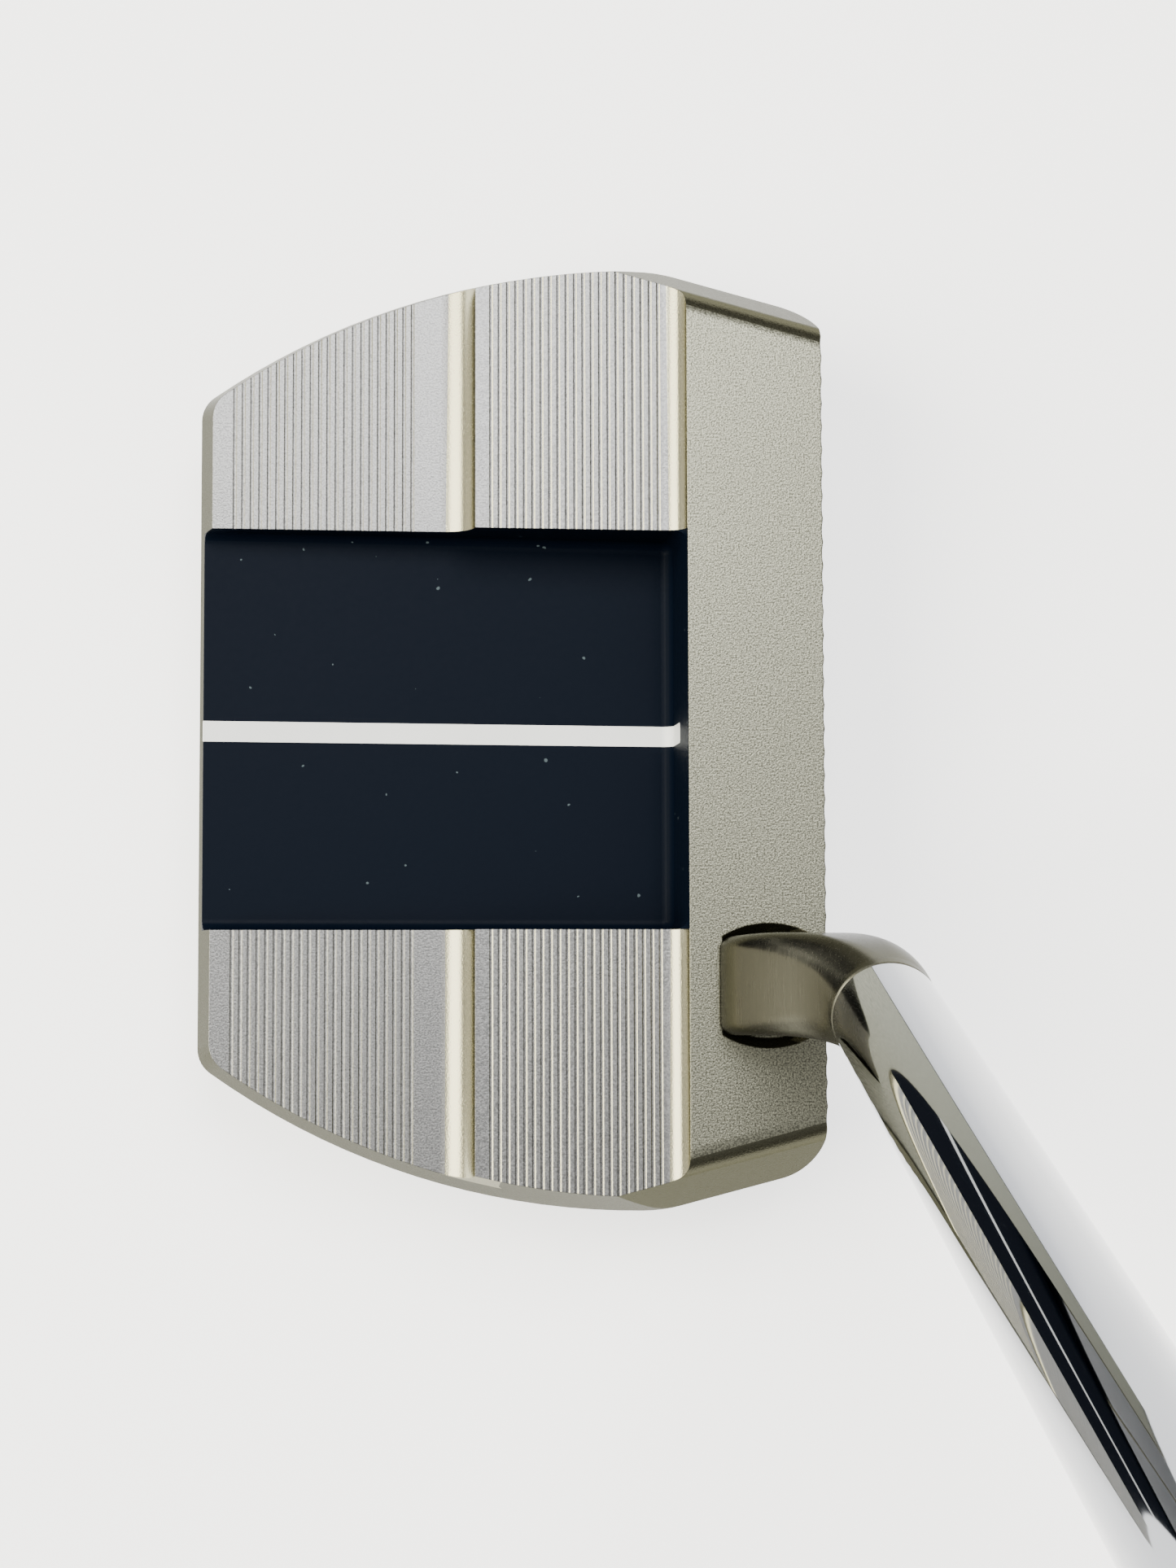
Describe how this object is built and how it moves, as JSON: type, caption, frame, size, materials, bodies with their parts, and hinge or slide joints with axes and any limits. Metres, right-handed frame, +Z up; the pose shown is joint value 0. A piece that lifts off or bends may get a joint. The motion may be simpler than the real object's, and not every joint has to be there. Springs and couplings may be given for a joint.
{
  "type": "mallet putter",
  "caption": "Mallet putter with stepped, finely ridged wings, a dark open recess with a white sight line, a bent neck, a steel shaft and a padded grip.",
  "frame": {"origin": "on the ground at the flat sole plate, under the sight line and half-way between the rear edge and the face", "axes": "+X the way the face points, +Y towards the toe, +Z up"},
  "size_m": [0.0806, 0.3716, 0.8159],
  "materials": {
    "head_metal": "bead blasted, recess painted near-black navy",
    "line_paint": "white paint fill",
    "neck_metal": "satin",
    "plate_metal": "satin",
    "screw_metal": "dark satin",
    "weight_metal": "turned",
    "shaft_chrome": "mirror chrome",
    "adhesive": "cured epoxy",
    "seal": "matte",
    "tape": "double-sided tape",
    "foam": "foam",
    "grip_rubber": "matte, fine grain",
    "cap_rubber": "matte"
  },
  "bodies": {
    "root": {"head_body": "head_metal", "sight_line": "line_paint", "neck": "neck_metal", "neck_bond": "adhesive", "sole_plate": "plate_metal", "sole_gasket": "seal", "sole_screw_toe_front": "screw_metal", "sole_screw_toe_rear": "screw_metal", "sole_screw_heel_front": "screw_metal", "sole_screw_heel_rear": "screw_metal", "toe_weight": "weight_metal", "toe_weight_ring": "seal", "heel_weight": "weight_metal", "heel_weight_ring": "seal", "shaft": "shaft_chrome", "shaft_bond": "adhesive", "grip_tape": "tape", "grip_core": "foam", "grip_skin": "grip_rubber", "grip_end_cap": "cap_rubber"}
  },
  "joints": []
}
